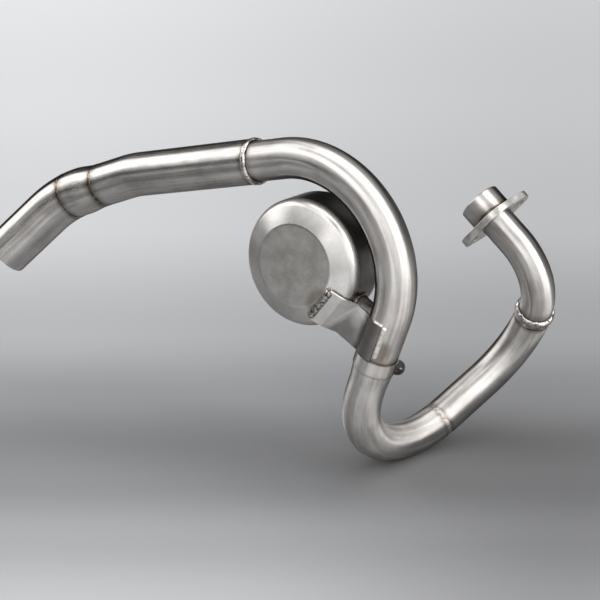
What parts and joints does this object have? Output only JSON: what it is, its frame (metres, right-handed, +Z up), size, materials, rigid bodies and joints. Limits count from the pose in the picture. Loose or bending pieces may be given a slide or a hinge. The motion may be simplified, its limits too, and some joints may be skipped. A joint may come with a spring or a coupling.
{
  "type": "motorcycle exhaust header pipe",
  "caption": "Bent steel exhaust header with an oval head flange, a U bend under the engine, a slip joint, an arched tube and a round resonator drum on a folded bracket",
  "frame": {"origin": "middle of the flange's face that clamps against the cylinder head, on the pipe's centre line", "axes": "+X to the front of the motorcycle, +Y to its left side, +Z up"},
  "size_m": [0.5486, 0.304, 0.3464],
  "materials": {
    "polished_tube": "mirror polished stainless steel",
    "turned_steel": "turned and polished",
    "flange_plate": "satin, ground edge",
    "drum_sheet": "pressed sheet, polished rim and satin flat",
    "bracket_sheet": "bright sheet with heat tint at the welds",
    "weld_bead": "bright rippled weld with dark edges"
  },
  "bodies": {
    "root": {"inlet_spigot": "turned_steel", "head_flange": "flange_plate", "front_tube": "polished_tube", "front_weld": "weld_bead", "lower_tube": "polished_tube", "lower_weld": "weld_bead", "u_bend_tube": "polished_tube", "spring_lug": "bracket_sheet", "spring_lug_weld": "weld_bead", "arc_tube": "polished_tube", "arc_weld": "weld_bead", "mid_tube": "polished_tube", "mid_weld": "weld_bead", "expander": "polished_tube", "tail_weld": "weld_bead", "tail_tube": "polished_tube", "drum_shell": "drum_sheet", "drum_outer_lid": "drum_sheet", "drum_inner_lid": "drum_sheet", "drum_neck": "drum_sheet", "neck_tube_weld": "weld_bead", "neck_drum_weld": "weld_bead", "support_bracket": "bracket_sheet", "bracket_lid_weld": "weld_bead", "bracket_tube_weld": "weld_bead"}
  },
  "joints": []
}
